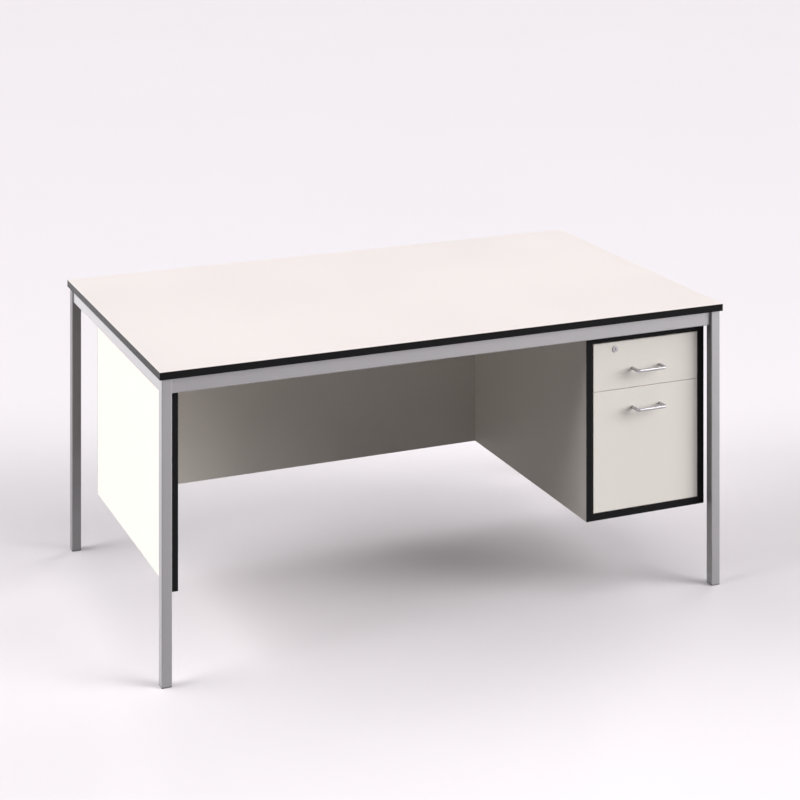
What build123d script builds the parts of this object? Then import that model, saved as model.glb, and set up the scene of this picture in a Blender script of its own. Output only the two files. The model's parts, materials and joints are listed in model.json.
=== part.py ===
from build123d import *

import os

# Teacher desk: a welded steel frame, a laminated top, an end panel, a modesty panel and a hung
# pedestal with two drawers, the upper one lockable. Millimetres. +X is to the right and +Z is up for
# a person who stands in front of the drawers; +Y points away from that person. The origin is on the
# floor, under the middle of the top.

# ---- Driving dimensions -------------------------------------------------------------------------
DESK_WIDTH = 1500.0
DESK_DEPTH = 900.0
DESK_HEIGHT = 725.0

BOARD = 18.0                  # finished thickness of the top and of every panel
LAMINATE = 0.8                # decorative sheet on the core, and the balancing sheet below it
EDGING = 2.0                  # black edging strip
TOP_CORNER = 2.0              # upright corners of the top
ARRIS = 0.6                   # rounding of every exposed board and edging edge
TRIM = 0.4                    # bevel that trims the decorative sheet
EDGING_CORNER = 1.9           # upright corners of the long edging strips, just under their thickness

TUBE = 25.0                   # square leg tube
TUBE_WALL = 1.5
TUBE_CORNER = 2.0             # outside corner radius of legs and rails
TOP_OVERHANG = 6.0            # top's edge to the leg's outer face
RAIL_HEIGHT = 37.0
RAIL_THICKNESS = 16.0
LONG_RAIL_RECESS = 7.0        # leg's outer face to the front or rear rail's outer face
END_RAIL_RECESS = 4.0
GLIDE_PAD = 3.0               # foot glide below the tube
GLIDE_STEM = 18.0             # foot glide inside the tube
GLIDE_BEVEL = 0.8
FIT = 0.05                    # radial clearance of pins, screws and sliding parts in their holes
PAST = 1.0                    # how far a through cut runs beyond each face

PANEL_BOTTOM = 205.0          # underside of the end panel, the modesty panel and the pedestal
PANEL_GAP = 5.0               # leg's inner faces to the outer faces of the panels
PEDESTAL_WIDTH = 343.0
MODESTY_FRONT = 246.0         # Y of the modesty panel's front face

DRAWER_GAP = 1.5              # round each drawer front
DRAWER_SPLIT = 529.5          # height of the middle of the gap between the two drawer fronts
SPLIT_GAP = 1.5
BOX_WALL = 12.0               # drawer box boards
BASE = 4.0                    # drawer base board
BASE_RISE = 8.0               # drawer side's lower edge to the base's underside
BASE_REACH = 5.5              # how far the base sits in its groove
UPPER_BOX = (541.0, 621.0)    # lower and upper edges of the drawer box sides
LOWER_BOX = (236.0, 500.0)
UPPER_RUNNER = 576.0          # height of the runner's middle
LOWER_RUNNER = 330.0

RUNNER_WIDTH = 12.7
RUNNER_LENGTH = 500.0
RUNNER_SHEET = 1.2
BALL = 3.1                    # runner ball diameter
BALL_GAP = BALL + 2 * FIT
CAGE_LENGTH = 130.0
CAGE_START = 126.0            # runner's front end to the cage's front end, drawer closed
BALLS_PER_ROW = 6

HANDLE_ROD = 8.0
HANDLE_PITCH = 80.0           # between the two handle screws
HANDLE_REACH = 30.0           # drawer face to the middle of the handle's bar
HANDLE_BEND = 6.0             # bend radius on the rod's centre line
HANDLE_FROM_SPLIT = 49.5      # each handle above or below the gap between the fronts

LOCK_FROM_SIDE = 64.0         # pedestal opening's left side to the lock's axis
LOCK_FROM_TOP = 19.0
LOCK_FLANGE = 16.0
LOCK_BEVEL = 0.5
LOCK_BARREL = 13.0
LOCK_PLUG = 10.0
CAM_REACH = 26.0
CAM_WIDTH = 12.0
CAM_SHEET = 2.0

# ---- Sizes that follow from them ----------------------------------------------------------------
HALF_W = DESK_WIDTH / 2
HALF_D = DESK_DEPTH / 2
TOP_UNDER = DESK_HEIGHT - BOARD
LEG_OUT_X = HALF_W - TOP_OVERHANG
LEG_OUT_Y = HALF_D - TOP_OVERHANG
LEG_IN_X = LEG_OUT_X - TUBE
LEG_IN_Y = LEG_OUT_Y - TUBE
RAIL_UNDER = TOP_UNDER - RAIL_HEIGHT
PANEL_OUT_X = LEG_IN_X - PANEL_GAP
PANEL_IN_X = PANEL_OUT_X - BOARD
PANEL_FRONT = -(LEG_IN_Y - PANEL_GAP)
MODESTY_REAR = MODESTY_FRONT + BOARD

PED_LEFT = PANEL_OUT_X - PEDESTAL_WIDTH
PED_IN_LEFT = PED_LEFT + BOARD
PED_IN_RIGHT = PANEL_OUT_X - BOARD
PED_TOP = RAIL_UNDER
PED_IN_TOP = PED_TOP - BOARD
PED_IN_BOTTOM = PANEL_BOTTOM + BOARD
PED_CENTRE = (PED_IN_LEFT + PED_IN_RIGHT) / 2

FRONT_BACK = PANEL_FRONT + BOARD             # rear face of the drawer fronts
BOX_LEFT = PED_IN_LEFT + RUNNER_WIDTH
BOX_RIGHT = PED_IN_RIGHT - RUNNER_WIDTH
BOX_REAR = FRONT_BACK + RUNNER_LENGTH
INNER_FRONT_BACK = FRONT_BACK + BOX_WALL
LOCK_X = PED_IN_LEFT + LOCK_FROM_SIDE
LOCK_Z = PED_IN_TOP - LOCK_FROM_TOP
HANDLE_XS = (PED_CENTRE - HANDLE_PITCH / 2, PED_CENTRE + HANDLE_PITCH / 2)

# ---- Fasteners: (shank diameter, length under the head, head diameter, head height) --------------
TOP_SCREW = (4.0, 14.0, 8.0, 2.4)
BRACKET_SCREW = (4.0, 13.0, 8.0, 2.4)
PACKER_SCREW = (5.0, 68.0, 10.0, 3.0)
HANDLE_SCREW = (4.0, BOX_WALL + BOARD + 10.0, 8.0, 2.4)
HANDLE_THREAD = 12.0          # depth of the threaded hole in each end of the handle
RUNNER_SCREW = (3.5, 13.0, 6.0)
MEMBER_SCREW = (3.5, 11.0, 6.0)
FRONT_SCREW = (3.5, 25.0, 7.0)
DRIVE_SLOT = (0.9, 1.2)       # width and depth of the cross slot in a screw head
SLOT_SPAN = 0.6               # length of the cross slot, as a share of the head's diameter
HEAD_DOME = 0.4               # rounding of a pan head, as a share of its height
DOWEL = (8.0, 30.0, 10.0)     # diameter, length, length inside the side panel
DOWEL_BEVEL = 0.8
DOWEL_ROOM = 0.5              # spare depth of the hole at each end of a dowel

UP = (0, 0, 1)
DOWN = (0, 0, -1)
LEFT = (-1, 0, 0)
RIGHT = (1, 0, 0)
FORWARD = (0, -1, 0)
BACKWARD = (0, 1, 0)


# ---- Small building blocks -----------------------------------------------------------------------
def block(xs, ys, zs):
    """A rectangular solid from its lowest and highest X, Y and Z."""
    corner = Align.MIN
    solid = Box(xs[1] - xs[0], ys[1] - ys[0], zs[1] - zs[0], align=(corner, corner, corner))
    return Pos(xs[0], ys[0], zs[0]) * solid


def post(diameter, length):
    """A round solid that stands on Z = 0."""
    return Cylinder(diameter / 2, length, align=(Align.CENTER, Align.CENTER, Align.MIN))


def rod(start, direction, diameter, length):
    """A round solid that starts at a point and runs along a direction."""
    return Plane(origin=start, z_dir=direction) * post(diameter, length)


def group(solids):
    """Several separate solids that make one node."""
    return Compound(children=list(solids))


def cross_slot(size):
    """The driver recess of a screw whose head top is at Z = 0."""
    width, depth = DRIVE_SLOT
    arm = (-size / 2, size / 2)
    thin = (-width / 2, width / 2)
    return block(arm, thin, (-depth, 0)) + block(thin, arm, (-depth, 0))


def pan_screw(spec, seat, direction):
    """A pan-head screw. The head's underside is at seat, and the shank runs along direction."""
    shank, length, head, height = spec
    dome = post(head, height)
    dome = fillet(dome.edges().sort_by(Axis.Z)[-1], height * HEAD_DOME)
    body = dome - Pos(0, 0, height) * cross_slot(head * SLOT_SPAN)
    body = body + Pos(0, 0, -length) * post(shank, length)
    away = tuple(-part for part in direction)
    return Plane(origin=seat, z_dir=away) * body


def flat_shape(spec, grow):
    """A countersunk screw's outline, head top at Z = 0 and shank downwards, grown by a clearance."""
    shank, length, head = spec
    taper = (head - shank) / 2
    profile = [(0, 0), (head / 2 + grow, 0), (shank / 2 + grow, -taper), (shank / 2 + grow, -length - grow)]
    profile.append((0, -length - grow))
    face = make_face(Plane.XZ * Polyline(*profile, close=True))
    return revolve(face, Axis.Z)


def flat_screw(spec, top, direction):
    """A countersunk screw. The head's flat top is at top, and the shank runs along direction."""
    body = flat_shape(spec, 0) - cross_slot(spec[2] * SLOT_SPAN)
    away = tuple(-part for part in direction)
    return Plane(origin=top, z_dir=away) * body


def flat_hole(spec, top, direction):
    """The countersunk hole that holds a flat_screw."""
    away = tuple(-part for part in direction)
    return Plane(origin=top, z_dir=away) * flat_shape(spec, FIT)


def hole(seat, direction, diameter, length):
    """The clearance hole round a shank, with a little room past its end."""
    return rod(seat, direction, diameter + 2 * FIT, length + FIT)


def eased(solid, side, radius=ARRIS):
    """The solid with the edges of its outermost face on one side rounded."""
    outermost = solid.faces().sort_by(Axis((0, 0, 0), side))[-1]
    return fillet(outermost.edges(), radius)


def moved(point, direction, distance):
    """A point shifted along a direction."""
    return tuple(value + part * distance for value, part in zip(point, direction))


# ---- Frame ---------------------------------------------------------------------------------------
def rail_section(width, height):
    outer = RectangleRounded(width, height, TUBE_CORNER)
    inner = RectangleRounded(width - 2 * TUBE_WALL, height - 2 * TUBE_WALL, TUBE_CORNER - TUBE_WALL)
    return outer - inner


def leg(side_x, side_y):
    """side_x and side_y are -1 or 1."""
    tube = extrude(rail_section(TUBE, TUBE), TOP_UNDER - GLIDE_PAD)
    return Pos(side_x * (LEG_OUT_X - TUBE / 2), side_y * (LEG_OUT_Y - TUBE / 2), GLIDE_PAD) * tube


def foot_glide(side_x, side_y):
    x = side_x * (LEG_OUT_X - TUBE / 2)
    y = side_y * (LEG_OUT_Y - TUBE / 2)
    pad = extrude(RectangleRounded(TUBE, TUBE, TUBE_CORNER), GLIDE_PAD)
    stem_width = TUBE - 2 * TUBE_WALL - 2 * FIT
    stem = extrude(RectangleRounded(stem_width, stem_width, TUBE_CORNER - TUBE_WALL), GLIDE_STEM)
    pad = chamfer(pad.edges().group_by(Axis.Z)[0], GLIDE_BEVEL)
    return Pos(x, y, 0) * (pad + Pos(0, 0, GLIDE_PAD) * stem)


def long_rail(side_y):
    """The front or the rear rail. It butts against the inner faces of two legs."""
    tube = extrude(rail_section(RAIL_THICKNESS, RAIL_HEIGHT), 2 * LEG_IN_X)
    y = side_y * (LEG_OUT_Y - LONG_RAIL_RECESS - RAIL_THICKNESS / 2)
    along_x = Plane(origin=(-LEG_IN_X, y, TOP_UNDER - RAIL_HEIGHT / 2), x_dir=(0, 1, 0), z_dir=RIGHT)
    return along_x * tube


def end_rail(side_x):
    tube = extrude(rail_section(RAIL_THICKNESS, RAIL_HEIGHT), 2 * LEG_IN_Y)
    x = side_x * (LEG_OUT_X - END_RAIL_RECESS - RAIL_THICKNESS / 2)
    along_y = Plane(origin=(x, -LEG_IN_Y, TOP_UNDER - RAIL_HEIGHT / 2), x_dir=LEFT, z_dir=BACKWARD)
    return along_y * tube


LUG_WIDTH = 30.0
LUG_SHEET = 3.0
LUG_DROP = 25.0
LUG_REACH = 28.0
LUG_BEND = 1.0
LUG_HOLE = 5.0
LUG_HOLE_AT = 0.6 * LUG_REACH
LUG_XS = (-560.0, -190.0, 180.0, 545.0)
END_LUG_Y = 340.0


def lug_places():
    """Each lug as (point on the rail's inner face at the top's underside, direction into the frame)."""
    long_face = LEG_OUT_Y - LONG_RAIL_RECESS - RAIL_THICKNESS
    end_face = LEG_OUT_X - END_RAIL_RECESS - RAIL_THICKNESS
    places = [((x, -long_face, TOP_UNDER), BACKWARD) for x in LUG_XS]
    places += [((x, long_face, TOP_UNDER), FORWARD) for x in LUG_XS]
    places += [((-end_face, END_LUG_Y, TOP_UNDER), RIGHT), ((end_face, END_LUG_Y, TOP_UNDER), LEFT)]
    return places


def lug_screw_seat(place):
    point, inward = place
    return moved(moved(point, inward, LUG_HOLE_AT), DOWN, LUG_SHEET)


def lug(place):
    """An angle welded to a rail, with one screw hole in its upper leg."""
    point, inward = place
    half = LUG_WIDTH / 2
    weld_leg = block((0, LUG_SHEET), (-half, half), (-LUG_DROP, 0))
    screw_leg = block((LUG_SHEET, LUG_REACH), (-half, half), (-LUG_SHEET, 0))
    angle = fillet((weld_leg + screw_leg).edges().filter_by(Axis.Y).group_by(Axis.X)[0], LUG_BEND)
    cut = rod(moved(lug_screw_seat(place), DOWN, PAST), UP, LUG_HOLE, LUG_SHEET + 2 * PAST)
    return Plane(origin=point, x_dir=inward, z_dir=UP) * angle - cut


# ---- Top -----------------------------------------------------------------------------------------
CORE_X = HALF_W - EDGING
CORE_Y = HALF_D - EDGING


def top_screw_seats():
    return [lug_screw_seat(place) for place in lug_places()]


def top_pilot_holes():
    """Pilot holes for every screw that enters the top from below."""
    cuts = [hole(seat, UP, TOP_SCREW[0], TOP_SCREW[1]) for seat in top_screw_seats()]
    cuts += [hole(seat, UP, BRACKET_SCREW[0], BRACKET_SCREW[1]) for seat in bracket_top_seats()]
    cuts += [hole(seat, UP, PACKER_SCREW[0], PACKER_SCREW[1]) for seat in packer_seats()]
    return cuts


def top_core():
    slab = block((-CORE_X, CORE_X), (-CORE_Y, CORE_Y), (TOP_UNDER + LAMINATE, DESK_HEIGHT - LAMINATE))
    return slab - top_pilot_holes()


def top_backing():
    sheet = block((-CORE_X, CORE_X), (-CORE_Y, CORE_Y), (TOP_UNDER, TOP_UNDER + LAMINATE))
    return sheet - top_pilot_holes()


def top_laminate():
    """The decorative sheet laps over the edging strips."""
    sheet = block((-HALF_W, HALF_W), (-HALF_D, HALF_D), (DESK_HEIGHT - LAMINATE, DESK_HEIGHT))
    sheet = fillet(sheet.edges().filter_by(Axis.Z), TOP_CORNER)
    return chamfer(sheet.faces().sort_by(Axis.Z)[-1].edges(), TRIM)


def top_edging_long(side_y):
    ys = sorted((side_y * CORE_Y, side_y * HALF_D))
    strip = block((-HALF_W, HALF_W), ys, (TOP_UNDER, DESK_HEIGHT - LAMINATE))
    outside = Axis((0, 0, 0), (0, side_y, 0))
    strip = fillet(strip.edges().filter_by(Axis.Z).group_by(outside)[-1], EDGING_CORNER)
    return fillet(strip.edges().filter_by(Axis.X).group_by(Axis.Z)[0].sort_by(outside)[-1], ARRIS)


def top_edging_end(side_x):
    xs = sorted((side_x * CORE_X, side_x * HALF_W))
    strip = block(xs, (-CORE_Y, CORE_Y), (TOP_UNDER, DESK_HEIGHT - LAMINATE))
    outside = Axis((0, 0, 0), (side_x, 0, 0))
    return fillet(strip.edges().filter_by(Axis.Y).group_by(Axis.Z)[0].sort_by(outside)[-1], ARRIS)


# ---- Angle brackets between the panels and the top, and between panel and panel ------------------
ANGLE_LEG = 30.0
ANGLE_SHEET = 2.0
ANGLE_WIDTH = 40.0
ANGLE_SCREWS = (-11.0, 11.0)  # the two screws of each leg, along the angle
ANGLE_HOLE = 4.4
ANGLE_HOLE_AT = 17.0          # corner to the middle of the screw holes
ANGLE_BEND = 1.5
END_ANGLE_YS = (-330.0, -60.0, 190.0)             # end panel to top
MODESTY_ANGLE_XS = (-560.0, -160.0, 240.0, 545.0) # modesty panel to top
UPRIGHT_ANGLE_ZS = (270.0, 440.0, 610.0)          # modesty panel to the end panel and the pedestal


def angle_places():
    """Each angle as (corner point, direction of its first leg, direction of its second leg)."""
    places = []
    for y in END_ANGLE_YS:
        places.append(((-PANEL_IN_X, y, TOP_UNDER), RIGHT, DOWN))
    for x in MODESTY_ANGLE_XS:
        places.append(((x, MODESTY_FRONT, TOP_UNDER), FORWARD, DOWN))
    for z in UPRIGHT_ANGLE_ZS:
        places.append(((-PANEL_IN_X, MODESTY_FRONT, z), RIGHT, FORWARD))
        places.append(((PED_IN_LEFT, MODESTY_FRONT, z), RIGHT, FORWARD))
        places.append(((PED_IN_RIGHT, MODESTY_FRONT, z), LEFT, FORWARD))
    return places


def angle_axis(first, second):
    """The direction along the angle's corner."""
    cross = Vector(*first).cross(Vector(*second))
    return (cross.X, cross.Y, cross.Z)


def angle_seats(place):
    """The four screws of an angle as (seat under the head, direction of the shank)."""
    corner, first, second = place
    along = angle_axis(first, second)
    seats = []
    for shift in ANGLE_SCREWS:
        on_first = moved(moved(corner, first, ANGLE_HOLE_AT), along, shift)
        seats.append((moved(on_first, second, ANGLE_SHEET), tuple(-part for part in second)))
        on_second = moved(moved(corner, second, ANGLE_HOLE_AT), along, shift)
        seats.append((moved(on_second, first, ANGLE_SHEET), tuple(-part for part in first)))
    return seats


def bracket_seats():
    return [seat for place in angle_places() for seat in angle_seats(place)]


def bracket_top_seats():
    """Only the bracket screws that point up, into the top."""
    return [seat for seat, direction in bracket_seats() if direction == UP]


def angle_bracket(place):
    corner, first, second = place
    half = ANGLE_WIDTH / 2
    flat = block((0, ANGLE_LEG), (0, ANGLE_SHEET), (-half, half))
    flat = flat + block((0, ANGLE_SHEET), (0, ANGLE_LEG), (-half, half))
    tips = flat.edges().filter_by(Axis.Z).sort_by_distance((ANGLE_SHEET, ANGLE_SHEET, 0))[0]
    angle = Plane(origin=corner, x_dir=first, z_dir=angle_axis(first, second)) * fillet(tips, ANGLE_BEND)
    for seat, direction in angle_seats(place):
        start = moved(seat, direction, -PAST)
        angle = angle - rod(start, direction, ANGLE_HOLE, ANGLE_SHEET + 2 * PAST)
    return angle


def bracket_holes():
    return [hole(seat, direction, BRACKET_SCREW[0], BRACKET_SCREW[1]) for seat, direction in bracket_seats()]


# ---- End panel and modesty panel -----------------------------------------------------------------
def end_panel():
    ys = (PANEL_FRONT + EDGING, MODESTY_REAR - EDGING)
    board = block((-PANEL_OUT_X, -PANEL_IN_X), ys, (PANEL_BOTTOM, TOP_UNDER))
    board = fillet(board.edges().filter_by(Axis.Y).group_by(Axis.Z)[0], ARRIS)
    return board - bracket_holes()


def modesty_panel():
    """It also closes the back of the pedestal."""
    xs = (-PANEL_IN_X, PANEL_OUT_X - EDGING)
    board = block(xs, (MODESTY_FRONT, MODESTY_REAR), (PANEL_BOTTOM, TOP_UNDER))
    board = fillet(board.edges().filter_by(Axis.X).group_by(Axis.Z)[0], ARRIS)
    return board - bracket_holes()


def panel_edging():
    """Black strips on the panels' upright ends and round the pedestal's front edges."""
    tall = (PANEL_BOTTOM, TOP_UNDER)
    carcass = (PANEL_BOTTOM, PED_TOP)
    front = (PANEL_FRONT, PANEL_FRONT + EDGING)
    between = (PED_IN_LEFT, PED_IN_RIGHT)
    strips = [eased(block((-PANEL_OUT_X, -PANEL_IN_X), front, tall), FORWARD)]
    rear_end = block((-PANEL_OUT_X, -PANEL_IN_X), (MODESTY_REAR - EDGING, MODESTY_REAR), tall)
    right_end = block((PANEL_OUT_X - EDGING, PANEL_OUT_X), (MODESTY_FRONT, MODESTY_REAR), tall)
    strips += [eased(rear_end, BACKWARD), eased(right_end, RIGHT)]
    for xs in ((PED_LEFT, PED_IN_LEFT), (PED_IN_RIGHT, PANEL_OUT_X)):
        strips.append(eased(block(xs, front, carcass), FORWARD))
    for zs in ((PED_IN_TOP, PED_TOP), (PANEL_BOTTOM, PED_IN_BOTTOM)):
        strips.append(eased(block(between, front, zs), FORWARD))
    return group(strips)


# ---- Pedestal carcass ----------------------------------------------------------------------------
CARCASS_YS = (PANEL_FRONT + EDGING, MODESTY_FRONT)
DOWEL_YS = (-340.0, -60.0, 170.0)
RUNNER_HOLE_YS = (40.0, 250.0, 460.0)     # runner's front end to its screws
PACKER_WIDTH = 40.0
PACKER_YS = (-350.0, 130.0)
PACKER_SCREW_INSET = 60.0
MORTISE_XS = (LOCK_X - 8.0, LOCK_X + 23.0)    # the cam swings in from the right
MORTISE_YS = (FRONT_BACK - 1.0, FRONT_BACK + 8.0)
MORTISE_DEPTH = 10.0


def dowel_places():
    """Each dowel as (middle of its end face inside the side panel, direction along it)."""
    buried = DOWEL[2]
    places = []
    for z in (PED_TOP - BOARD / 2, PANEL_BOTTOM + BOARD / 2):
        for y in DOWEL_YS:
            places.append(((PED_IN_LEFT - buried, y, z), RIGHT))
            places.append(((PED_IN_RIGHT + buried, y, z), LEFT))
    return places


def dowel_holes():
    cuts = []
    for point, direction in dowel_places():
        start = moved(point, direction, -DOWEL_ROOM)
        cuts.append(rod(start, direction, DOWEL[0] + 2 * FIT, DOWEL[1] + 2 * DOWEL_ROOM))
    return cuts


def pedestal_dowels():
    solids = [rod(point, direction, DOWEL[0], DOWEL[1]) for point, direction in dowel_places()]
    return group(chamfer(solid.edges().filter_by(GeomType.CIRCLE), DOWEL_BEVEL) for solid in solids)


def cabinet_screw_places():
    """The countersunk screws of the cabinet members, as (head top, direction)."""
    places = []
    for z in (UPPER_RUNNER, LOWER_RUNNER):
        for distance in RUNNER_HOLE_YS:
            y = FRONT_BACK + distance
            places.append(((PED_IN_LEFT + RUNNER_SHEET, y, z), LEFT))
            places.append(((PED_IN_RIGHT - RUNNER_SHEET, y, z), RIGHT))
    return places


def cabinet_screw_holes():
    return [flat_hole(RUNNER_SCREW, top, direction) for top, direction in cabinet_screw_places()]


def pedestal_side(side):
    xs = (PED_LEFT, PED_IN_LEFT) if side < 0 else (PED_IN_RIGHT, PANEL_OUT_X)
    board = block(xs, CARCASS_YS, (PANEL_BOTTOM, PED_TOP))
    outside = Axis((0, 0, 0), (side, 0, 0))
    board = fillet(board.edges().filter_by(Axis.Y).group_by(Axis.Z)[0].sort_by(outside)[-1], ARRIS)
    return board - dowel_holes() - cabinet_screw_holes() - bracket_holes()


def packer_seats():
    """Seats of the long screws that hang the pedestal from the top."""
    inset = PACKER_SCREW_INSET
    return [(x, y, PED_IN_TOP) for y in PACKER_YS for x in (PED_IN_LEFT + inset, PED_IN_RIGHT - inset)]


def packer_holes():
    return [hole(seat, UP, PACKER_SCREW[0], PACKER_SCREW[1]) for seat in packer_seats()]


def pedestal_top_panel():
    board = block((PED_IN_LEFT, PED_IN_RIGHT), CARCASS_YS, (PED_IN_TOP, PED_TOP))
    mortise = block(MORTISE_XS, MORTISE_YS, (PED_IN_TOP, PED_IN_TOP + MORTISE_DEPTH))
    return board - dowel_holes() - packer_holes() - mortise


def pedestal_bottom_panel():
    board = block((PED_IN_LEFT, PED_IN_RIGHT), CARCASS_YS, (PANEL_BOTTOM, PED_IN_BOTTOM))
    return board - dowel_holes()


def pedestal_packer(y):
    """A batten that fills the height of the rails between the carcass and the top."""
    half = PACKER_WIDTH / 2
    batten = block((PED_IN_LEFT, PED_IN_RIGHT), (y - half, y + half), (PED_TOP, TOP_UNDER))
    return batten - packer_holes()


# ---- Drawer runners ------------------------------------------------------------------------------
CABINET_HALF = 22.5                                   # half the height of the cabinet member
CABINET_LIP = 9.0                                     # how far its flanges reach
MIDDLE_HALF = CABINET_HALF - RUNNER_SHEET - BALL_GAP
MIDDLE_XS = (2.2, 10.4)
DRAWER_HALF = MIDDLE_HALF - RUNNER_SHEET - BALL_GAP
DRAWER_LIP = 4.0
CAGE_SHEET = 1.0
CAGE_XS = (4.6, 8.0)
BALL_X = 6.3


def channel(web, tip, half):
    """A U section: the web's outer face at X = web, the flanges' ends at X = tip, upright in Y."""
    inward = 1 if tip > web else -1
    web_xs = sorted((web, web + inward * RUNNER_SHEET))
    flange_xs = sorted((web, tip))
    sketch = Pos(sum(web_xs) / 2, 0) * Rectangle(RUNNER_SHEET, 2 * half)
    flange = Rectangle(flange_xs[1] - flange_xs[0], RUNNER_SHEET)
    for side in (-1, 1):
        sketch = sketch + Pos(sum(flange_xs) / 2, side * (half - RUNNER_SHEET / 2)) * flange
    return sketch


def runner_frame(side, z):
    """A plane whose X points from the cabinet side to the drawer and whose Z runs to the rear."""
    wall = PED_IN_LEFT if side < 0 else PED_IN_RIGHT
    inward = RIGHT if side < 0 else LEFT
    return Plane(origin=(wall, FRONT_BACK, z), x_dir=inward, z_dir=BACKWARD)


def member_pair(web, tip, half, z):
    """The same channel on both sides of a drawer."""
    bar = extrude(channel(web, tip, half), RUNNER_LENGTH)
    return [runner_frame(side, z) * bar for side in (-1, 1)]


def cabinet_members(z):
    return group(bar - cabinet_screw_holes() for bar in member_pair(0, CABINET_LIP, CABINET_HALF, z))


def middle_members(z):
    return group(member_pair(MIDDLE_XS[0], MIDDLE_XS[1], MIDDLE_HALF, z))


def drawer_members(z):
    bars = member_pair(RUNNER_WIDTH, DRAWER_LIP, DRAWER_HALF, z)
    return group(bar - member_screw_holes(z) for bar in bars)


def member_screw_places(z):
    """The countersunk screws of the drawer members, as (head top, direction)."""
    places = []
    for distance in RUNNER_HOLE_YS:
        y = FRONT_BACK + distance
        places.append(((BOX_LEFT - RUNNER_SHEET, y, z), RIGHT))
        places.append(((BOX_RIGHT + RUNNER_SHEET, y, z), LEFT))
    return places


def member_screw_holes(z):
    return [flat_hole(MEMBER_SCREW, top, direction) for top, direction in member_screw_places(z)]


def ball_cages(outer_half, z):
    """Balls and their cages, above and below, on both sides of a drawer.

    outer_half is half the height between the flanges that the balls run on."""
    row = outer_half - BALL_GAP / 2
    pitch = CAGE_LENGTH / BALLS_PER_ROW
    half = CAGE_SHEET / 2
    solids = []
    for side in (-1, 1):
        place = runner_frame(side, z)
        for level in (-row, row):
            strip = block(CAGE_XS, (level - half, level + half), (CAGE_START, CAGE_START + CAGE_LENGTH))
            for index in range(BALLS_PER_ROW):
                spot = Pos(BALL_X, level, CAGE_START + pitch * (index + 0.5))
                strip = strip - spot * Sphere(BALL / 2 + FIT)
                solids.append(place * (spot * Sphere(BALL / 2)))
            solids.append(place * strip)
    return group(solids)


# ---- Drawers -------------------------------------------------------------------------------------
def front_span(level):
    """Lower and upper edge of a drawer front. level is upper or lower."""
    if level == "upper":
        return (DRAWER_SPLIT + SPLIT_GAP / 2, PED_IN_TOP - DRAWER_GAP)
    return (PED_IN_BOTTOM + DRAWER_GAP, DRAWER_SPLIT - SPLIT_GAP / 2)


def box_span(level):
    return UPPER_BOX if level == "upper" else LOWER_BOX


def runner_height(level):
    return UPPER_RUNNER if level == "upper" else LOWER_RUNNER


def handle_height(level):
    return DRAWER_SPLIT + (HANDLE_FROM_SPLIT if level == "upper" else -HANDLE_FROM_SPLIT)


def handle_screw_seats(level):
    return [(x, INNER_FRONT_BACK, handle_height(level)) for x in HANDLE_XS]


def handle_screw_holes(level):
    return [hole(seat, FORWARD, HANDLE_SCREW[0], HANDLE_SCREW[1]) for seat in handle_screw_seats(level)]


def front_screw_places(level):
    low, high = box_span(level)
    edge = 20.0
    xs = (BOX_LEFT + BOX_WALL + edge, BOX_RIGHT - BOX_WALL - edge)
    zs = (low + BASE_RISE + BASE + edge, high - edge)
    return [((x, INNER_FRONT_BACK, z), FORWARD) for x in xs for z in zs]


def front_screw_holes(level):
    return [flat_hole(FRONT_SCREW, top, direction) for top, direction in front_screw_places(level)]


def drawer_front(level):
    xs = (PED_IN_LEFT + DRAWER_GAP, PED_IN_RIGHT - DRAWER_GAP)
    board = eased(block(xs, (PANEL_FRONT, FRONT_BACK), front_span(level)), FORWARD)
    board = board - handle_screw_holes(level) - front_screw_holes(level)
    if level == "upper":
        start = (LOCK_X, PANEL_FRONT - PAST, LOCK_Z)
        board = board - rod(start, BACKWARD, LOCK_BARREL + 2 * FIT, BOARD + 2 * PAST)
    return board


def base_board(level, grow):
    """The drawer's base. grow widens it into the groove that holds it."""
    low = box_span(level)[0] + BASE_RISE
    reach = BASE_REACH + grow
    xs = (BOX_LEFT + BOX_WALL - reach, BOX_RIGHT - BOX_WALL + reach)
    ys = (INNER_FRONT_BACK - reach, BOX_REAR - BOX_WALL + reach)
    return block(xs, ys, (low - grow, low + BASE + grow))


def drawer_base(level):
    return base_board(level, 0)


def drawer_groove(level):
    return base_board(level, FIT)


def drawer_side(level, side):
    xs = (BOX_LEFT, BOX_LEFT + BOX_WALL) if side < 0 else (BOX_RIGHT - BOX_WALL, BOX_RIGHT)
    board = eased(block(xs, (FRONT_BACK, BOX_REAR), box_span(level)), UP) - drawer_groove(level)
    board = board - member_screw_holes(runner_height(level))
    if level == "lower":
        board = board - [hanging_bar_space(y, FIT) for y in HANGING_BAR_YS]
    return board


def drawer_inner_front(level):
    xs = (BOX_LEFT + BOX_WALL, BOX_RIGHT - BOX_WALL)
    board = eased(block(xs, (FRONT_BACK, INNER_FRONT_BACK), box_span(level)), UP) - drawer_groove(level)
    return board - handle_screw_holes(level) - front_screw_holes(level)


def drawer_back(level):
    xs = (BOX_LEFT + BOX_WALL, BOX_RIGHT - BOX_WALL)
    return eased(block(xs, (BOX_REAR - BOX_WALL, BOX_REAR), box_span(level)), UP) - drawer_groove(level)


def drawer_handle(level):
    """A round rod bent twice, with a threaded hole in each end."""
    z = handle_height(level)
    left, right = HANDLE_XS
    bar_y = PANEL_FRONT - HANDLE_REACH
    points = [(left, PANEL_FRONT, z), (left, bar_y, z), (right, bar_y, z), (right, PANEL_FRONT, z)]
    path = FilletPolyline(*points, radius=HANDLE_BEND)
    section = Plane(origin=points[0], z_dir=FORWARD) * Circle(HANDLE_ROD / 2)
    bar = sweep(section, path=path)
    for x in HANDLE_XS:
        bar = bar - rod((x, PANEL_FRONT, z), FORWARD, HANDLE_SCREW[0] + 2 * FIT, HANDLE_THREAD)
    return bar


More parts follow.
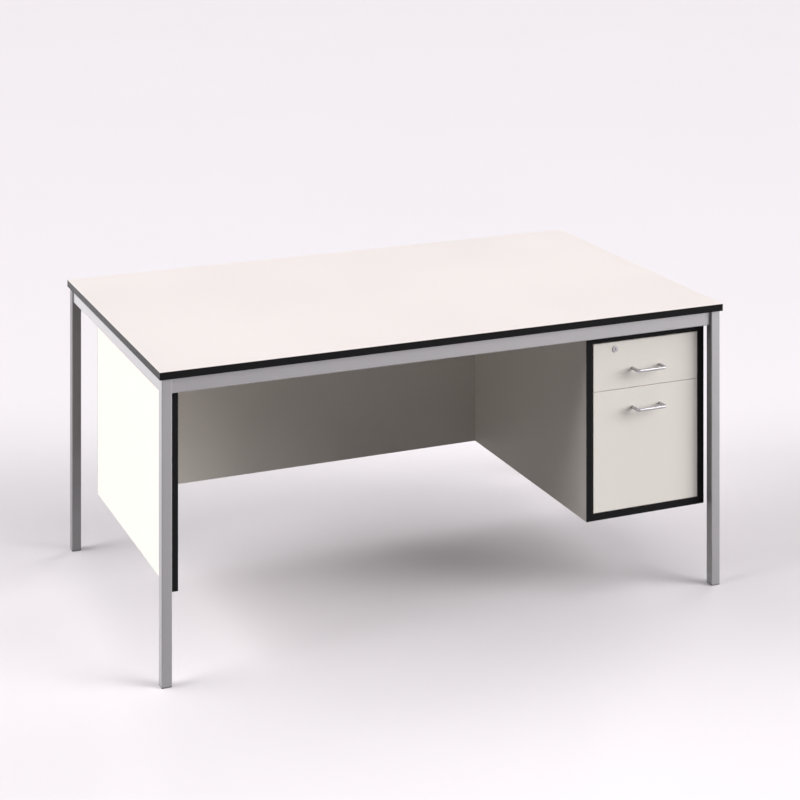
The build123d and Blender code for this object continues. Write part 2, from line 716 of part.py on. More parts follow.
def drawer_screws(level):
    """Handle screws, front screws and drawer member screws of one drawer."""
    solids = [pan_screw(HANDLE_SCREW, seat, FORWARD) for seat in handle_screw_seats(level)]
    solids += [flat_screw(FRONT_SCREW, top, direction) for top, direction in front_screw_places(level)]
    places = member_screw_places(runner_height(level))
    solids += [flat_screw(MEMBER_SCREW, top, direction) for top, direction in places]
    return group(solids)


HANGING_BAR = (3.0, 14.0)                 # thickness and height of the flat bar
HANGING_BAR_YS = (-330.0, 0.0)
HANGING_BAR_REACH = 8.0                   # how far each end sits in a drawer side


def hanging_bar_space(y, grow):
    thick, high = HANGING_BAR
    reach = HANGING_BAR_REACH + grow
    xs = (BOX_LEFT + BOX_WALL - reach, BOX_RIGHT - BOX_WALL + reach)
    zs = (LOWER_BOX[1] - high - grow, LOWER_BOX[1])
    return block(xs, (y - thick / 2 - grow, y + thick / 2 + grow), zs)


# ---- Lock ----------------------------------------------------------------------------------------
LOCK_FLANGE_SHEET = 1.5
LOCK_BODY_REAR = FRONT_BACK + 1.0
KEYWAY = (1.6, 7.0, 9.0)                  # width, height and depth of the key's slot
TAIL = 5.0                                # square end of the plug that carries the cam
COLLAR = 9.0                              # diameter of the riveted end behind the cam
COLLAR_SHEET = 2.0
PLUG_PROUD = 0.4


def lock_housing():
    face = PANEL_FRONT - LOCK_FLANGE_SHEET
    flange = rod((LOCK_X, face, LOCK_Z), BACKWARD, LOCK_FLANGE, LOCK_FLANGE_SHEET)
    flange = chamfer(flange.edges().filter_by(GeomType.CIRCLE).sort_by(Axis.Y)[0], LOCK_BEVEL)
    barrel = rod((LOCK_X, PANEL_FRONT, LOCK_Z), BACKWARD, LOCK_BARREL, LOCK_BODY_REAR - PANEL_FRONT)
    bore_length = LOCK_BODY_REAR - face + 2 * PAST
    bore = rod((LOCK_X, face - PAST, LOCK_Z), BACKWARD, LOCK_PLUG + 2 * FIT, bore_length)
    return flange + barrel - bore


def lock_bar(width, ys, height):
    """A rectangular bar centred on the lock's axis."""
    xs = (LOCK_X - width / 2, LOCK_X + width / 2)
    return block(xs, ys, (LOCK_Z - height / 2, LOCK_Z + height / 2))


def lock_plug():
    """The turning cylinder. Its square tail carries the cam, and a collar keeps the cam on."""
    face = PANEL_FRONT - LOCK_FLANGE_SHEET - PLUG_PROUD
    collar = LOCK_BODY_REAR + FIT + CAM_SHEET + FIT
    plug = rod((LOCK_X, face, LOCK_Z), BACKWARD, LOCK_PLUG, LOCK_BODY_REAR + FIT - face)
    plug = plug + lock_bar(TAIL, (LOCK_BODY_REAR, collar), TAIL)
    plug = plug + rod((LOCK_X, collar, LOCK_Z), BACKWARD, COLLAR, COLLAR_SHEET)
    return plug - lock_bar(KEYWAY[0], (face, face + KEYWAY[2]), KEYWAY[1])


def lock_cam():
    """A flat tongue. It lies sideways when unlocked, and points up into the mortise when locked."""
    straight = CAM_REACH - CAM_WIDTH / 2
    outline = Pos(straight / 2, 0) * SlotCenterToCenter(straight, CAM_WIDTH)
    outline = outline - Rectangle(TAIL + 2 * FIT, TAIL + 2 * FIT)
    behind_body = Plane(origin=(LOCK_X, LOCK_BODY_REAR + FIT, LOCK_Z), x_dir=RIGHT, z_dir=BACKWARD)
    return behind_body * extrude(outline, CAM_SHEET)


# ---- Nodes ---------------------------------------------------------------------------------------
def frame_nodes():
    nodes = {}
    for depth_name, side_y in (("front", -1), ("rear", 1)):
        for side_name, side_x in (("left", -1), ("right", 1)):
            nodes[f"leg_{depth_name}_{side_name}"] = leg(side_x, side_y)
        nodes[f"rail_{depth_name}"] = long_rail(side_y)
    for side_name, side_x in (("left", -1), ("right", 1)):
        nodes[f"rail_{side_name}"] = end_rail(side_x)
    nodes["foot_glides"] = group(foot_glide(x, y) for x in (-1, 1) for y in (-1, 1))
    nodes["top_fixing_lugs"] = group(lug(place) for place in lug_places())
    return nodes


def top_nodes():
    nodes = {"top_core": top_core(), "top_laminate": top_laminate(), "top_backing": top_backing()}
    for name, side in (("front", -1), ("rear", 1)):
        nodes[f"top_edging_{name}"] = top_edging_long(side)
    for name, side in (("left", -1), ("right", 1)):
        nodes[f"top_edging_{name}"] = top_edging_end(side)
    return nodes


def panel_nodes():
    screws = [pan_screw(TOP_SCREW, seat, UP) for seat in top_screw_seats()]
    screws += [pan_screw(BRACKET_SCREW, seat, direction) for seat, direction in bracket_seats()]
    return {
        "end_panel": end_panel(),
        "modesty_panel": modesty_panel(),
        "panel_edging": panel_edging(),
        "angle_brackets": group(angle_bracket(place) for place in angle_places()),
        "pan_head_screws": group(screws),
    }


def pedestal_nodes():
    runner_screws = [flat_screw(RUNNER_SCREW, top, direction) for top, direction in cabinet_screw_places()]
    return {
        "pedestal_side_left": pedestal_side(-1),
        "pedestal_side_right": pedestal_side(1),
        "pedestal_top_panel": pedestal_top_panel(),
        "pedestal_bottom_panel": pedestal_bottom_panel(),
        "pedestal_dowels": pedestal_dowels(),
        "pedestal_packers": group(pedestal_packer(y) for y in PACKER_YS),
        "pedestal_fixing_screws": group(pan_screw(PACKER_SCREW, seat, UP) for seat in packer_seats()),
        "runner_screws": group(runner_screws),
    }


def drawer_nodes(level):
    z = runner_height(level)
    nodes = {
        "runner_cabinet_members": cabinet_members(z),
        "runner_outer_ball_cages": ball_cages(CABINET_HALF - RUNNER_SHEET, z),
        "runner_middle_members": middle_members(z),
        "runner_inner_ball_cages": ball_cages(MIDDLE_HALF - RUNNER_SHEET, z),
        "runner_drawer_members": drawer_members(z),
        "drawer_front": drawer_front(level),
        "drawer_inner_front": drawer_inner_front(level),
        "drawer_side_left": drawer_side(level, -1),
        "drawer_side_right": drawer_side(level, 1),
        "drawer_back": drawer_back(level),
        "drawer_base": drawer_base(level),
        "drawer_handle": drawer_handle(level),
        "drawer_screws": drawer_screws(level),
    }
    return {f"{level}_{name}": solid for name, solid in nodes.items()}


def lock_nodes():
    return {"lock_housing": lock_housing(), "lock_plug": lock_plug(), "lock_cam": lock_cam()}


def all_nodes():
    nodes = {}
    for part in (frame_nodes(), top_nodes(), panel_nodes(), pedestal_nodes()):
        nodes.update(part)
    for level in ("upper", "lower"):
        nodes.update(drawer_nodes(level))
    nodes["file_hanging_bars"] = group(hanging_bar_space(y, 0) for y in HANGING_BAR_YS)
    nodes.update(lock_nodes())
    return nodes


os.makedirs("parts", exist_ok=True)
for node_name, node_solid in all_nodes().items():
    export_step(node_solid, f"parts/{node_name}.step")
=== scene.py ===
import json
import math

import bmesh
import bpy
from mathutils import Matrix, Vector


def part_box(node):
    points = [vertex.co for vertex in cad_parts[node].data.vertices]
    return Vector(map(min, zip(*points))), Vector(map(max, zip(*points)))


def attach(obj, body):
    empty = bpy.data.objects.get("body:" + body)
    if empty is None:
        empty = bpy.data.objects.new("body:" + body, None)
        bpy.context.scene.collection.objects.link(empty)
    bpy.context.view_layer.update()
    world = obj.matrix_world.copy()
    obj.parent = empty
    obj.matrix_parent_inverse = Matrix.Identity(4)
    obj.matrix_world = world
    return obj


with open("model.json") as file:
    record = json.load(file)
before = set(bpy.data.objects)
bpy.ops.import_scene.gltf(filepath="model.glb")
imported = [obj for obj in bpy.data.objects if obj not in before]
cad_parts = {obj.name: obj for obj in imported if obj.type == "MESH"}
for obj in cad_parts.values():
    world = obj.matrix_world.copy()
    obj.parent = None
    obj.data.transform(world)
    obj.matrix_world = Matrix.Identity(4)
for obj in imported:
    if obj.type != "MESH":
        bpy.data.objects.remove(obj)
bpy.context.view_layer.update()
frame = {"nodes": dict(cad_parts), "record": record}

# Teacher desk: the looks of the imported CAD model. Metres. +X is to the right and +Z is up for a person
# who sits at the desk, and +Y points away from that person.

# ---- Camera: level, to the front left, with the picture shifted down like a view camera's ---------
CAMERA_PLACE = Vector((-1.994, -4.782, 2.086))
CAMERA_YAW = math.radians(23.0)
CAMERA_SENSOR = 36.0
CAMERA_LENS = 88.3
CAMERA_SHIFT = -0.780
CAMERA_REACH = 200.0
HOME_TOLERANCE = 0.001

# ---- Light ---------------------------------------------------------------------------------------
SUN_SPREAD = math.radians(30.0)
LIGHT_TINT = (1.0, 0.995, 1.0)
BACKDROP_COLOUR = (0.87, 0.835, 0.865)
REFLECTED_BACKDROP = 0.25
# name: (azimuth, elevation, strength), with azimuth 0 in front of the desk and 90 to its right
LIGHTS = {
    "left_key": (-90.0, 32.0, 1.6),
    "left_low": (-105.0, 6.0, 2.6),
    "left_rear": (-120.0, 32.0, 0.85),
    "rear_left": (-150.0, 52.0, 0.4),
    "rear_right": (120.0, 32.0, 0.8),
    "right_low": (60.0, 12.0, 2.6),
    "right_key": (45.0, 32.0, 1.45),
    "overhead": (30.0, 72.0, 0.65),
}
# lights that only show as highlights, each on the few nodes that the home view sees at a slant
SHEENS = {
    "right_sheen": (46.0, 4.0, 5.2),
    "left_sheen": (-146.0, 3.0, 12.0),
}
SHEEN_NODES = {
    "right_sheen": ("rail_front", "leg_front_left", "leg_front_right"),
    "left_sheen": ("rail_left", "leg_front_left", "top_edging_left"),
}
SHINY_SLOTS = (
    "silver_frame",
    "black_edging",
    "zinc_steel",
    "satin_nickel",
    "glide_plastic",
    "cage_plastic",
)


# ---- Shader building blocks ----------------------------------------------------------------------
BEVEL_SAMPLES = 4
EDGE_LEAN = 0.85    # a rounded normal with this cosine to the true one counts as a full edge


class Shader:
    """A material under construction, with short calls for the nodes that this scene uses."""

    def __init__(self, name):
        self.material = bpy.data.materials.new(name)
        self.material.use_nodes = True
        self.tree = self.material.node_tree
        self.tree.nodes.clear()
        self.out = self.tree.nodes.new("ShaderNodeOutputMaterial")
        self.bsdf = self.tree.nodes.new("ShaderNodeBsdfPrincipled")
        self.join(self.bsdf.outputs[0], self.out.inputs["Surface"])
        self.place = self.tree.nodes.new("ShaderNodeTexCoord").outputs["Object"]

    def join(self, output, socket):
        self.tree.links.new(output, socket)

    def feed(self, socket, value):
        """Links an output to a socket, or sets the socket to a plain value."""
        if isinstance(value, bpy.types.NodeSocket):
            self.join(value, socket)
        else:
            socket.default_value = value

    def noise(self, scale, detail=3.0, roughness=0.5, stretch=(1.0, 1.0, 1.0)):
        mapping = self.tree.nodes.new("ShaderNodeMapping")
        mapping.inputs["Scale"].default_value = stretch
        self.join(self.place, mapping.inputs["Vector"])
        node = self.tree.nodes.new("ShaderNodeTexNoise")
        node.inputs["Scale"].default_value = scale
        node.inputs["Detail"].default_value = detail
        node.inputs["Roughness"].default_value = roughness
        self.join(mapping.outputs[0], node.inputs["Vector"])
        return node.outputs["Fac"]

    def cells(self, scale):
        """Distance to the middle of the nearest cell, from 0 up."""
        node = self.tree.nodes.new("ShaderNodeTexVoronoi")
        node.inputs["Scale"].default_value = scale
        self.join(self.place, node.inputs["Vector"])
        return node.outputs["Distance"]

    def remap(self, value, source, target):
        """Maps the source range to the target range, and holds at both ends."""
        node = self.tree.nodes.new("ShaderNodeMapRange")
        self.feed(node.inputs["Value"], value)
        node.inputs["From Min"].default_value, node.inputs["From Max"].default_value = source
        node.inputs["To Min"].default_value, node.inputs["To Max"].default_value = target
        return node.outputs["Result"]

    def math(self, operation, first, second):
        node = self.tree.nodes.new("ShaderNodeMath")
        node.operation = operation
        self.feed(node.inputs[0], first)
        self.feed(node.inputs[1], second)
        return node.outputs[0]

    def mix(self, share, first, second):
        """The first colour, with a share of the second."""
        node = self.tree.nodes.new("ShaderNodeMix")
        node.data_type = "RGBA"
        self.feed(node.inputs["Factor"], share)
        self.feed(node.inputs["A"], first)
        self.feed(node.inputs["B"], second)
        return node.outputs["Result"]

    def edge(self, radius):
        """1 on edges and 0 away from them: how far a rounded normal leans from the true one."""
        bevel = self.tree.nodes.new("ShaderNodeBevel")
        bevel.samples = BEVEL_SAMPLES
        bevel.inputs["Radius"].default_value = radius
        true_normal = self.tree.nodes.new("ShaderNodeNewGeometry").outputs["Normal"]
        dot = self.tree.nodes.new("ShaderNodeVectorMath")
        dot.operation = "DOT_PRODUCT"
        self.join(bevel.outputs[0], dot.inputs[0])
        self.join(true_normal, dot.inputs[1])
        return self.remap(dot.outputs["Value"], (1.0, EDGE_LEAN), (0.0, 1.0))

    def upright(self):
        """How far the surface faces up: 1 on level faces, 0 on upright ones."""
        split = self.tree.nodes.new("ShaderNodeSeparateXYZ")
        self.join(self.tree.nodes.new("ShaderNodeNewGeometry").outputs["Normal"], split.inputs[0])
        return split.outputs["Z"]

    def bump(self, height, strength, distance):
        node = self.tree.nodes.new("ShaderNodeBump")
        node.inputs["Strength"].default_value = strength
        node.inputs["Distance"].default_value = distance
        self.join(height, node.inputs["Height"])
        self.join(node.outputs[0], self.bsdf.inputs["Normal"])

    def set(self, **values):
        """Feeds the surface's inputs, named in lower case with _ for a space."""
        inputs = {socket.name.lower().replace(" ", "_"): socket for socket in self.bsdf.inputs}
        for name, value in values.items():
            self.feed(inputs[name], value)


def colour(red, green, blue):
    return (red, green, blue, 1.0)


def scaled(base, factor):
    return tuple(channel * factor for channel in base[:3]) + (1.0,)


# ---- Materials -----------------------------------------------------------------------------------
LAMINATE_WHITE = colour(0.76, 0.705, 0.685)
MELAMINE_WHITE = colour(0.80, 0.757, 0.708)
# the drawer fronts get the board's white made 3% lighter: painted light, so that the fronts look more
# brightly lit
DRAWER_WHITE_PAINTED_LIGHTER = scaled(MELAMINE_WHITE, 1.03)
BACKING_WHITE = colour(0.62, 0.58, 0.54)
HARDBOARD_WHITE = colour(0.70, 0.67, 0.63)
PHENOLIC_CORE = colour(0.02, 0.017, 0.016)
EDGING_BLACK = colour(0.006, 0.006, 0.0065)
EDGING_WORN = colour(0.09, 0.088, 0.09)
FRAME_SILVER = colour(0.285, 0.277, 0.284)
GLIDE_GREY = colour(0.12, 0.12, 0.125)
CAGE_CREAM = colour(0.55, 0.54, 0.50)
ZINC = colour(0.62, 0.62, 0.60)
NICKEL = colour(0.48, 0.47, 0.485)
CHIPS = (colour(0.52, 0.37, 0.22), colour(0.30, 0.19, 0.10))
PINE = (colour(0.60, 0.42, 0.25), colour(0.42, 0.27, 0.14))

# how many features of a texture fit in a metre
BOARD_CLOUD = 3.5
STIPPLE = 550.0
ORANGE_PEEL = 1100.0
METAL_FLAKE = 2600.0
FRAME_CLOUD = 9.0
EDGING_GRAIN = 700.0
EDGING_STREAK = 40.0
PLASTIC_GRAIN = 900.0
DRAWN_LINES = 1500.0
METAL_SMUDGE = 60.0
CHIP_GRAIN = 300.0
PINE_GRAIN = 90.0
FLOOR_CLOUD = 0.8

# width of the rubbed band along an edge
EDGING_RUB = 0.0008
FRAME_RUB = 0.0012

# the ranges that nearly all, and most, of a noise's values lie in
NOISE_SPAN = (0.3, 0.7)
NOISE_CORE = (0.35, 0.65)


def stippled_white(name, base, roughness):
    """Matt decorative facing: a fine pearl stipple and a faint cloudiness."""
    shader = Shader(name)
    cloud = shader.noise(BOARD_CLOUD, detail=2.0)
    speck = shader.noise(STIPPLE, detail=3.0, roughness=0.65)
    tone = shader.mix(shader.remap(cloud, NOISE_CORE, (0.0, 1.0)), scaled(base, 0.985), base)
    tone = shader.mix(shader.remap(speck, NOISE_CORE, (0.0, 0.1)), tone, scaled(base, 0.8))
    rough = shader.remap(cloud, NOISE_SPAN, (roughness - 0.03, roughness + 0.04))
    shader.set(base_color=tone, roughness=rough, specular_ior_level=0.25)
    shader.bump(speck, strength=0.25, distance=0.0003)
    return shader


def worktop_laminate():
    """The white facing, with the sheet's dark core showing where its edge is trimmed at a slant."""
    shader = stippled_white("worktop_laminate", LAMINATE_WHITE, 0.42)
    tone = shader.bsdf.inputs["Base Color"].links[0].from_socket
    core = shader.remap(shader.upright(), (0.55, 0.95), (1.0, 0.0))
    shader.set(base_color=shader.mix(core, tone, PHENOLIC_CORE))
    return shader.material


def black_edging():
    """Plastic edging strip, grained, and rubbed paler along its corners."""
    shader = Shader("black_edging")
    grain = shader.noise(EDGING_GRAIN, detail=2.0)
    streak = shader.noise(EDGING_STREAK, detail=3.0, roughness=0.6, stretch=(1.0, 1.0, 8.0))
    patches = shader.remap(streak, (0.35, 0.7), (0.0, 0.55))
    worn = shader.math("MULTIPLY", shader.edge(EDGING_RUB), patches)
    paler = shader.remap(grain, NOISE_SPAN, (0.0, 0.3))
    tone = shader.mix(paler, EDGING_BLACK, scaled(EDGING_BLACK, 1.6))
    tone = shader.mix(worn, tone, EDGING_WORN)
    rough = shader.remap(streak, NOISE_SPAN, (0.42, 0.55))
    shader.set(base_color=tone, roughness=rough, specular_ior_level=0.09)
    shader.bump(grain, strength=0.2, distance=0.0002)
    return shader.material


def silver_frame():
    """Satin silver powder coat: orange peel, metal flake with a painted glint, and slightly rubbed
    edges.
    """
    shader = Shader("silver_frame")
    peel = shader.noise(ORANGE_PEEL, detail=2.0)
    flake = shader.cells(METAL_FLAKE)
    cloud = shader.noise(FRAME_CLOUD, detail=3.0)
    # painted glint: lighter specks at the flakes' middles stand in for their sparkle
    painted_flake_glint = shader.remap(flake, (0.1, 0.6), (0.35, 0.0))
    tone = shader.mix(painted_flake_glint, FRAME_SILVER, scaled(FRAME_SILVER, 1.25))
    tone = shader.mix(shader.remap(cloud, NOISE_CORE, (0.0, 0.08)), tone, scaled(FRAME_SILVER, 0.85))
    patches = shader.remap(cloud, (0.4, 0.7), (0.0, 0.5))
    worn = shader.math("MULTIPLY", shader.edge(FRAME_RUB), patches)
    tone = shader.mix(worn, tone, scaled(FRAME_SILVER, 1.3))
    rough = shader.remap(peel, NOISE_SPAN, (0.39, 0.43))
    shader.set(base_color=tone, metallic=0.5, roughness=rough)
    shader.bump(peel, strength=0.15, distance=0.0002)
    return shader.material


def moulded_plastic(name, base, roughness):
    shader = Shader(name)
    grain = shader.noise(PLASTIC_GRAIN, detail=2.0)
    tone = shader.mix(shader.remap(grain, NOISE_SPAN, (0.0, 0.4)), base, scaled(base, 1.25))
    rough = shader.remap(grain, NOISE_SPAN, (roughness - 0.05, roughness + 0.05))
    shader.set(base_color=tone, roughness=rough)
    shader.bump(grain, strength=0.2, distance=0.0002)
    return shader.material


def drawn_metal(name, base, roughness, stretch):
    """Satin metal with fine lines along one direction, and slight smudges."""
    shader = Shader(name)
    lines = shader.noise(DRAWN_LINES, detail=2.0, roughness=0.6, stretch=stretch)
    smudge = shader.noise(METAL_SMUDGE, detail=3.0)
    tone = shader.mix(shader.remap(lines, NOISE_SPAN, (0.0, 0.25)), base, scaled(base, 0.8))
    rough = shader.remap(smudge, NOISE_CORE, (roughness - 0.05, roughness + 0.07))
    shader.set(base_color=tone, metallic=1.0, roughness=rough)
    shader.bump(lines, strength=0.1, distance=0.0001)
    return shader.material


def board_wood(name, tones, scale, stretch):
    """Wood in a light and a dark tone, grained or in chips, with darker flecks."""
    light, dark = tones
    shader = Shader(name)
    grain = shader.noise(scale, detail=4.0, roughness=0.6, stretch=stretch)
    flecks = shader.cells(scale * 2.0)
    tone = shader.mix(shader.remap(grain, NOISE_CORE, (0.0, 1.0)), light, dark)
    tone = shader.mix(shader.remap(flecks, (0.0, 0.5), (0.3, 0.0)), tone, scaled(dark, 0.8))
    shader.set(base_color=tone, roughness=0.7)
    shader.bump(grain, strength=0.3, distance=0.0004)
    return shader.material


def all_materials():
    return {
        "worktop_laminate": worktop_laminate(),
        "melamine_board": stippled_white("melamine_board", MELAMINE_WHITE, 0.5).material,
        "drawer_front_board": stippled_white("drawer_front_board", DRAWER_WHITE_PAINTED_LIGHTER, 0.48).material,
        "black_edging": black_edging(),
        "balancing_sheet": stippled_white("balancing_sheet", BACKING_WHITE, 0.6).material,
        "chipboard": board_wood("chipboard", CHIPS, CHIP_GRAIN, stretch=(1.0, 1.0, 1.0)),
        "softwood": board_wood("softwood", PINE, PINE_GRAIN, stretch=(0.08, 1.0, 1.0)),
        "hardboard": stippled_white("hardboard", HARDBOARD_WHITE, 0.55).material,
        "silver_frame": silver_frame(),
        "glide_plastic": moulded_plastic("glide_plastic", GLIDE_GREY, 0.5),
        "zinc_steel": drawn_metal("zinc_steel", ZINC, 0.32, stretch=(1.0, 0.03, 1.0)),
        "cage_plastic": moulded_plastic("cage_plastic", CAGE_CREAM, 0.45),
        "satin_nickel": drawn_metal("satin_nickel", NICKEL, 0.40, stretch=(0.04, 1.0, 1.0)),
    }


def dress_cad_nodes(made):
    """Gives every CAD node the material of its slot in the record."""
    for entry in frame["record"]["subparts"]:
        mesh = frame["nodes"][entry["node"]].data
        mesh.materials.clear()
        mesh.materials.append(made[entry["material_slot"]])


# ---- Weld beads: each rail is welded to its legs below and inside, and is flush outside ----------
BEAD_RADIUS = 0.0016
BEAD_RIPPLE = 0.0022
RIPPLE_SWELL = 0.09
END_RADIUS_SHARE = 0.3      # of the bead's radius
END_SQUARENESS = 8          # the higher, the shorter the stretch over which the ends draw in
BEAD_SIDES = 12
RINGS_PER_RIPPLE = 6
RAIL_LONG_AXES = {"rail_front": 0, "rail_rear": 0, "rail_left": 1, "rail_right": 1}


def bead_radius(distance, length):
    """Rippled along the seam, and drawn in towards both ends."""
    from_middle = abs(2 * distance / length - 1)
    ripple = 1 + RIPPLE_SWELL * math.cos(2 * math.pi * distance / BEAD_RIPPLE)
    fullness = math.sqrt(1 - from_middle ** END_SQUARENESS)
    return BEAD_RADIUS * ripple * (END_RADIUS_SHARE + (1 - END_RADIUS_SHARE) * fullness)


def add_bead(build, start, end):
    along = end - start
    axis = along.normalized()
    side = axis.orthogonal().normalized()
    across = axis.cross(side)
    turns = [2 * math.pi * index / BEAD_SIDES for index in range(BEAD_SIDES)]
    circle = [side * math.cos(turn) + across * math.sin(turn) for turn in turns]
    steps = RINGS_PER_RIPPLE * round(along.length / BEAD_RIPPLE)
    rings = []
    for step in range(steps + 1):
        distance = along.length * step / steps
        radius = bead_radius(distance, along.length)
        rings.append([build.verts.new(start + axis * distance + point * radius) for point in circle])
    for first, second in zip(rings, rings[1:]):
        for index in range(BEAD_SIDES):
            following = (index + 1) % BEAD_SIDES
            build.faces.new((first[index], first[following], second[following], second[index]))
    build.faces.new(list(reversed(rings[0])))
    build.faces.new(rings[-1])


def rail_seams(rail, long_axis):
    """The (start, end) of the underside and inner seams at both ends of a rail."""
    low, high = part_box(rail)
    thin_axis = 1 - long_axis
    inner = min(low[thin_axis], high[thin_axis], key=abs)
    seams = []
    for tip in (low[long_axis], high[long_axis]):
        below_start, below_end, inside_start, inside_end = (Vector() for _ in range(4))
        for point in (below_start, below_end, inside_start, inside_end):
            point[long_axis] = tip
            point.z = low.z
        below_start[thin_axis] = low[thin_axis] + BEAD_RADIUS
        below_end[thin_axis] = high[thin_axis] - BEAD_RADIUS
        inside_start[thin_axis] = inside_end[thin_axis] = inner
        inside_end.z = high.z - 2 * BEAD_RADIUS
        seams += [(below_start, below_end), (inside_start, inside_end)]
    return seams


def make_weld_beads(material):
    build = bmesh.new()
    for rail, long_axis in RAIL_LONG_AXES.items():
        for start, end in rail_seams(rail, long_axis):
            add_bead(build, start, end)
    mesh = bpy.data.meshes.new("weld_beads")
    build.to_mesh(mesh)
    build.free()
    mesh.shade_smooth()
    mesh.materials.append(material)
    beads = bpy.data.objects.new("weld_beads", mesh)
    bpy.context.scene.collection.objects.link(beads)
    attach(beads, "root")
    return beads


# ---- Stage ---------------------------------------------------------------------------------------
FLOOR_HALF = 60.0
FLOOR_COLOUR = colour(0.68, 0.651, 0.675)
FLOOR_BOUNCE = colour(0.22, 0.215, 0.215)
FLOOR_CLOUD_SHADE = 0.99
# painted glow on the floor, seen only by the camera
FLOOR_PAINTED_GLOW = 0.62
FLOOR_PAINTED_GLOW_LOSS = 0.042
FLOOR_PAINTED_GLOW_TINT = colour(1.0, 0.96, 0.99)
FLOOR_POLISH = 0.03
FLOOR_POLISH_ROUGHNESS = 0.15


def floor_material():
    """A pale sweep with a painted glow that only the camera sees: it brightens the floor towards the
    viewer and lifts the shadows on it. The sweep throws little light back up at the desk.
    """
    shader = Shader("floor")
    path = shader.tree.nodes.new("ShaderNodeLightPath")
    depth = shader.tree.nodes.new("ShaderNodeCameraData").outputs["View Z Depth"]
    # painted glow, for camera rays only: stands in for light on the floor, stronger towards the viewer,
    # and lifts the floor's shadows
    painted_glow = shader.math("SUBTRACT", shader.math("DIVIDE", FLOOR_PAINTED_GLOW, depth), FLOOR_PAINTED_GLOW_LOSS)
    painted_glow = shader.math("MULTIPLY", painted_glow, path.outputs["Is Camera Ray"])
    cloud = shader.remap(shader.noise(FLOOR_CLOUD, detail=3.0), NOISE_SPAN, (0.0, 1.0))
    tone = shader.mix(cloud, FLOOR_COLOUR, scaled(FLOOR_COLOUR, FLOOR_CLOUD_SHADE))
    tone = shader.mix(path.outputs["Is Diffuse Ray"], tone, FLOOR_BOUNCE)
    shader.set(base_color=tone, roughness=0.6, specular_ior_level=0.0)
    shader.set(emission_color=FLOOR_PAINTED_GLOW_TINT, emission_strength=painted_glow)
    polish = shader.tree.nodes.new("ShaderNodeBsdfGlossy")
    polish.inputs["Roughness"].default_value = FLOOR_POLISH_ROUGHNESS
    blend = shader.tree.nodes.new("ShaderNodeMixShader")
    blend.inputs[0].default_value = FLOOR_POLISH
    shader.join(shader.bsdf.outputs[0], blend.inputs[1])
    shader.join(polish.outputs[0], blend.inputs[2])
    shader.join(blend.outputs[0], shader.out.inputs["Surface"])
    return shader.material


def make_floor():
    mesh = bpy.data.meshes.new("floor")
    build = bmesh.new()
    bmesh.ops.create_grid(build, x_segments=1, y_segments=1, size=FLOOR_HALF)
    build.to_mesh(mesh)
    build.free()
    mesh.materials.append(floor_material())
    floor = bpy.data.objects.new("floor", mesh)
    bpy.context.scene.collection.objects.link(floor)


def direction(azimuth, elevation):
    """From the desk towards a place round it. Azimuth 0 is in front, and 90 is to the right."""
    turn = math.radians(azimuth)
    rise = math.radians(elevation)
    flat = math.cos(rise)
    return Vector((math.sin(turn) * flat, -math.cos(turn) * flat, math.sin(rise)))


def add_sun(name, azimuth, elevation, strength):
    data = bpy.data.lights.new(name, "SUN")
    data.angle = SUN_SPREAD
    data.energy = strength
    data.color = LIGHT_TINT
    lamp = bpy.data.objects.new(name, data)
    lamp.rotation_euler = direction(azimuth, elevation).to_track_quat("Z", "Y").to_euler()
    bpy.context.scene.collection.objects.link(lamp)
    return lamp


def add_highlight(name, place, receivers):
    """A light that only shows as a highlight, on the receivers."""
    highlight = add_sun(name, *place)
    highlight.visible_diffuse = False
    highlight.light_linking.receiver_collection = receivers


def node_group(name, nodes):
    """The named CAD nodes as a collection, for light linking."""
    group = bpy.data.collections.new(name)
    for node in nodes:
        group.objects.link(frame["nodes"][node])
    return group


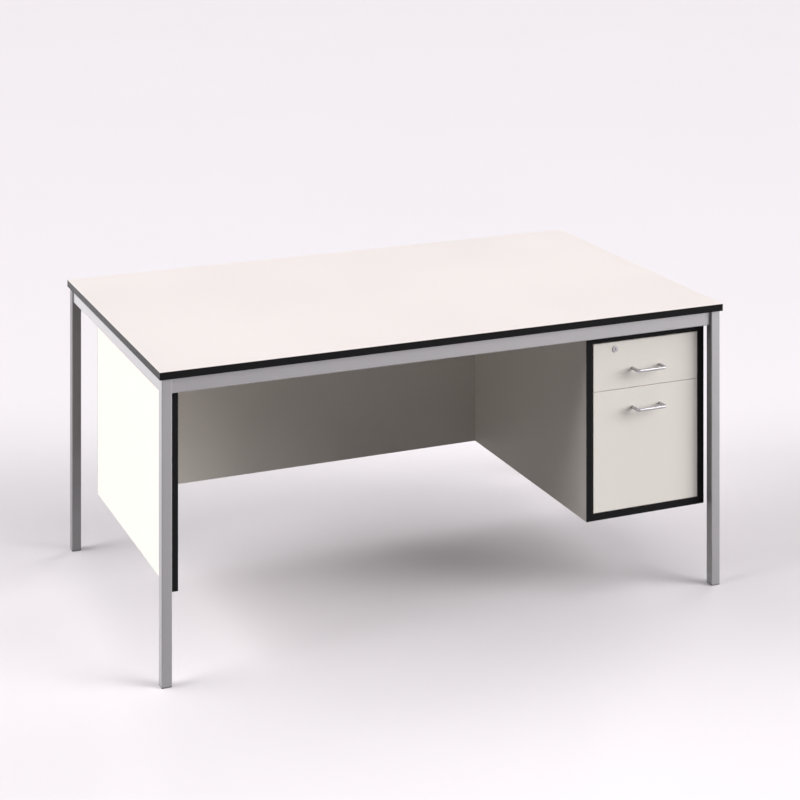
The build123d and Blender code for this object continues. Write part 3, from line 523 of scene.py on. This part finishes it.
def make_lights(beads):
    """Soft lights so far off that the whole sweep gets the same light. Boards and floor only reflect
    the backdrop: the lights' own highlights are separate lamps, for metal and plastic."""
    entries = frame["record"]["subparts"]
    shiny_nodes = [entry["node"] for entry in entries if entry["material_slot"] in SHINY_SLOTS]
    shiny = node_group("shiny", shiny_nodes)
    shiny.objects.link(beads)
    for name, place in LIGHTS.items():
        add_sun(name, *place).visible_glossy = False
        add_highlight(name + "_highlight", place, shiny)
    for name, place in SHEENS.items():
        add_highlight(name, place, node_group(name + "_nodes", SHEEN_NODES[name]))


def make_world():
    """A pale backdrop for the camera and, dimmed, for reflections. It lights nothing itself."""
    world = bpy.data.worlds.new("studio")
    world.use_nodes = True
    nodes = world.node_tree.nodes
    links = world.node_tree.links
    background = nodes["Background"]
    background.inputs["Color"].default_value = BACKDROP_COLOUR + (1.0,)
    path = nodes.new("ShaderNodeLightPath")
    strength = nodes.new("ShaderNodeMath")
    strength.operation = "MULTIPLY_ADD"
    links.new(path.outputs["Is Glossy Ray"], strength.inputs[0])
    strength.inputs[1].default_value = REFLECTED_BACKDROP
    links.new(path.outputs["Is Camera Ray"], strength.inputs[2])
    links.new(strength.outputs[0], background.inputs["Strength"])
    bpy.context.scene.world = world


def make_camera():
    data = bpy.data.cameras.new("camera")
    data.sensor_width = CAMERA_SENSOR
    data.lens = CAMERA_LENS
    data.clip_end = CAMERA_REACH
    camera = bpy.data.objects.new("camera", data)
    camera.location = CAMERA_PLACE
    camera.rotation_euler = (math.pi / 2, 0.0, -CAMERA_YAW)
    bpy.context.scene.collection.objects.link(camera)
    bpy.context.scene.camera = camera
    hold_shift_at_home(camera)


def hold_shift_at_home(camera):
    """The lens shift belongs to the home view only, so it drops to 0 once the camera has moved."""
    driver = camera.data.driver_add("shift_y").driver
    for axis in "xy":
        variable = driver.variables.new()
        variable.name = axis
        variable.type = "TRANSFORMS"
        variable.targets[0].id = camera
        variable.targets[0].transform_type = "LOC_" + axis.upper()
        variable.targets[0].transform_space = "WORLD_SPACE"
    near_x = f"abs(x - {CAMERA_PLACE.x:.4f}) < {HOME_TOLERANCE}"
    near_y = f"abs(y - {CAMERA_PLACE.y:.4f}) < {HOME_TOLERANCE}"
    driver.type = "SCRIPTED"
    driver.expression = f"{CAMERA_SHIFT} if {near_x} and {near_y} else 0.0"


materials = all_materials()
dress_cad_nodes(materials)
weld_beads = make_weld_beads(materials["silver_frame"])
make_floor()
make_lights(weld_beads)
make_world()
make_camera()
bpy.context.scene.view_settings.view_transform = "Standard"
